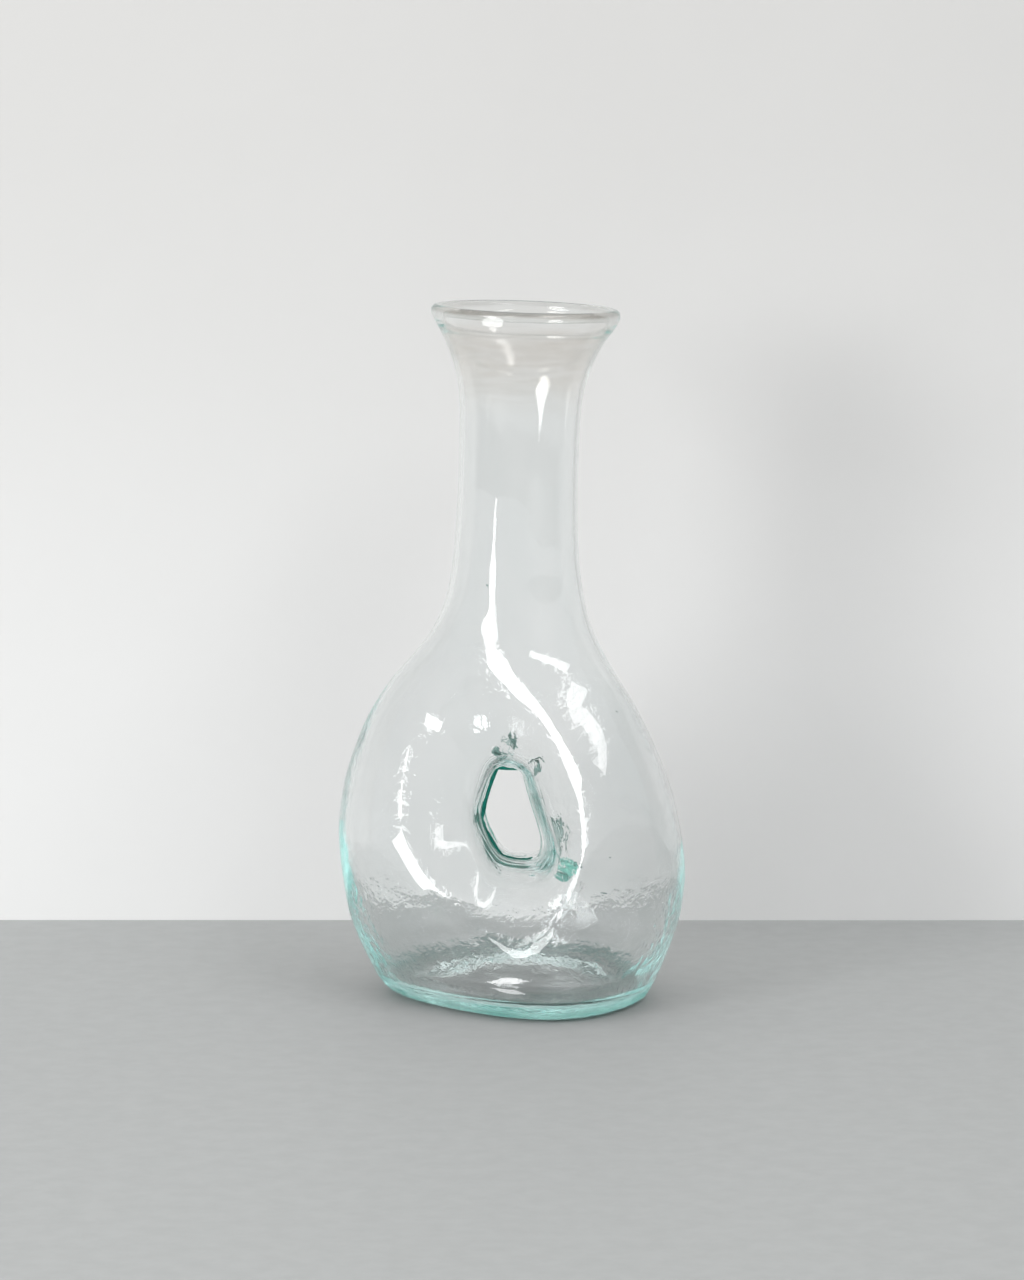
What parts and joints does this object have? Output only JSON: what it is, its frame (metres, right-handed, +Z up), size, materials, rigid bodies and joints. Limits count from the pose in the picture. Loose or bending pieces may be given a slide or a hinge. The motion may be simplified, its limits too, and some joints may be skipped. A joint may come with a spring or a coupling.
{
  "type": "decanter",
  "caption": "Hand-blown pale green glass decanter: round foot, wide belly pinched through to form a finger hole, slim neck and flared mouth with a rolled lip",
  "frame": {"origin": "on the table, under the middle of the bounding box", "axes": "+Z up through the mouth; the hole through the belly runs along Y; -Y is the side seen in the picture, +X to its right"},
  "size_m": [0.1508, 0.1254, 0.3012],
  "materials": {
    "glass_body": "fire-polished pale aqua recycled glass, slightly wavy",
    "glass_foot": "thick aqua glass, fire-polished",
    "glass_lip": "rolled lip with a faint smoky brown streak",
    "glass_seam": "dark sea-green fused glass"
  },
  "bodies": {
    "root": {"foot": "glass_foot", "bowl": "glass_body", "belly_left": "glass_body", "belly_right": "glass_body", "shoulder": "glass_body", "neck": "glass_body", "flared_mouth": "glass_body", "lip_bead": "glass_lip", "hole_collar": "glass_seam", "seam_knob": "glass_seam", "seam_crest": "glass_seam", "seam_tab": "glass_seam", "seam_lobe": "glass_seam"}
  },
  "joints": []
}
